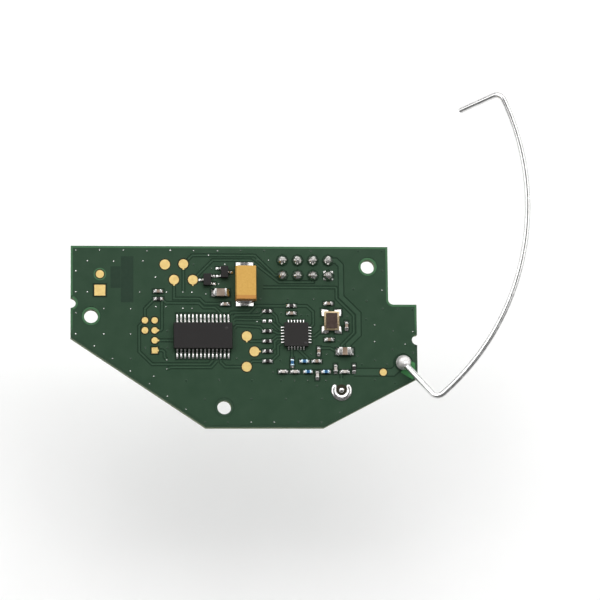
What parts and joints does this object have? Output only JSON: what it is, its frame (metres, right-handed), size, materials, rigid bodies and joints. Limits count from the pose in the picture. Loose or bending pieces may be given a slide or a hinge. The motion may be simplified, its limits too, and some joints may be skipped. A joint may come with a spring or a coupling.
{
  "type": "radio module",
  "caption": "Plug-in radio module: stepped circuit board with controller, radio chip, crystal and chip parts, a pin header beneath and a bowed wire antenna.",
  "frame": {"origin": "centre of the left mounting hole on the underside of the board", "axes": "+X along the board towards the antenna, +Y towards its straight top edge, +Z out of the side that carries the parts"},
  "size_m": [0.0754, 0.0547, 0.0195],
  "materials": {
    "antenna_tin": "bright tinned copper wire",
    "black_ceramic": "black resistor glaze",
    "black_moulding": "matt black moulding compound",
    "blue_ceramic": "blue coated inductor body",
    "board_laminate": "glass-fibre laminate under dark green solder mask",
    "crystal_ceramic": "dark fired ceramic",
    "gold_plate": "matt gold plating over copper",
    "gold_seal_ring": "gold-plated seal ring",
    "header_moulding": "black header moulding",
    "masked_copper": "copper under dark green solder mask",
    "nickel_lid": "matt nickel-plated lid",
    "pale_ceramic": "pale grey fired ceramic",
    "solder": "bright reflowed solder",
    "tan_ceramic": "brown-grey fired ceramic",
    "tantalum_moulding": "satin yellow-orange moulding with a darker polarity band",
    "tinned_metal": "bright tin plating"
  },
  "bodies": {
    "root": {"antenna_solder": "solder", "antenna_wire": "antenna_tin", "circuit_board": "board_laminate", "coax_core_solder": "solder", "coax_shield_solder": "solder", "controller_body": "black_moulding", "controller_leads": "tinned_metal", "controller_solder": "solder", "crystal_case": "crystal_ceramic", "crystal_lid": "nickel_lid", "crystal_seal_ring": "gold_seal_ring", "crystal_solder": "solder", "ground_copper": "masked_copper", "header_insulator": "header_moulding", "header_pins": "gold_plate", "header_solder": "solder", "large_capacitor_solder": "solder", "left_transistor_body": "black_moulding", "left_transistor_leads": "tinned_metal", "line_resistor_bodies": "black_ceramic", "line_resistor_ends": "tinned_metal", "matching_capacitor_bodies": "pale_ceramic", "matching_capacitor_ends": "tinned_metal", "matching_inductor_bodies": "blue_ceramic", "matching_inductor_ends": "tinned_metal", "other_resistor_bodies": "black_ceramic", "other_resistor_ends": "tinned_metal", "radio_chip_body": "black_moulding", "radio_chip_solder": "solder", "radio_chip_terminals": "tinned_metal", "reservoir_capacitor_body": "tan_ceramic", "reservoir_capacitor_ends": "tinned_metal", "right_transistor_body": "black_moulding", "right_transistor_leads": "tinned_metal", "signal_tracks": "masked_copper", "small_capacitor_bodies": "tan_ceramic", "small_capacitor_ends": "tinned_metal", "small_chip_solder": "solder", "supply_capacitor_body": "tan_ceramic", "supply_capacitor_ends": "tinned_metal", "tantalum_capacitor_body": "tantalum_moulding", "tantalum_capacitor_solder": "solder", "tantalum_capacitor_terminals": "tinned_metal", "test_pads": "gold_plate", "transistor_solder": "solder"}
  },
  "joints": []
}
